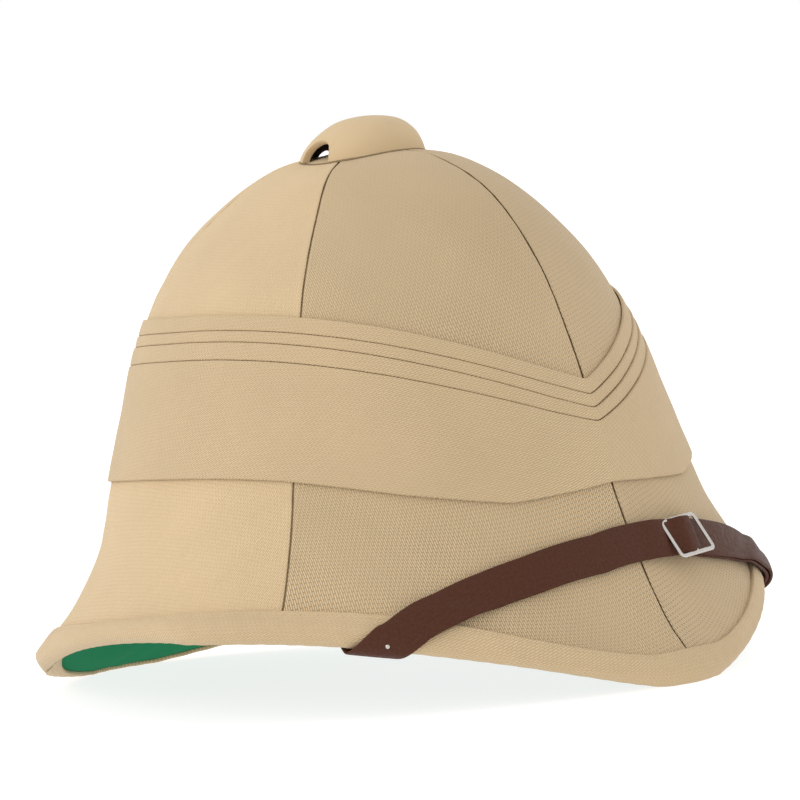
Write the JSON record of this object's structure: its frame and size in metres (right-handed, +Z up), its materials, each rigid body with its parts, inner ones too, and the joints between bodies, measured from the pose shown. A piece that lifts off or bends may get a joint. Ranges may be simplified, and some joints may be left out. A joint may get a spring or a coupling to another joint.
{
  "type": "pith helmet",
  "caption": "Cloth-covered pith sun helmet with a pleated band that dips to a point in front, a domed vent button and a leather chin strap worn over the peak.",
  "frame": {"origin": "middle of the bottom of the bounding box: midway between the front and the back of the brim, on the surface that the helmet stands on", "axes": "+X to the wearer's front, +Y to the wearer's left, +Z up"},
  "size_m": [0.3451, 0.2832, 0.2233],
  "materials": {
    "khaki_cotton": "matt twill",
    "pith": "matt",
    "green_lining": "matt",
    "brown_leather": "satin",
    "nickel": "polished"
  },
  "bodies": {
    "root": {"cover_panel_front_left": "khaki_cotton", "cover_panel_side_left": "khaki_cotton", "cover_panel_back_left": "khaki_cotton", "cover_panel_front_right": "khaki_cotton", "cover_panel_side_right": "khaki_cotton", "cover_panel_back_right": "khaki_cotton", "puggaree_fold_top": "khaki_cotton", "puggaree_fold_middle": "khaki_cotton", "puggaree_fold_low": "khaki_cotton", "puggaree_band": "khaki_cotton", "brim_binding": "khaki_cotton", "vent_button": "khaki_cotton", "shell": "pith", "lining": "green_lining", "chin_strap": "brown_leather", "strap_tail": "brown_leather", "strap_buckle": "nickel", "strap_rivet_right": "nickel", "strap_rivet_left": "nickel", "button_post": "nickel"}
  },
  "joints": []
}
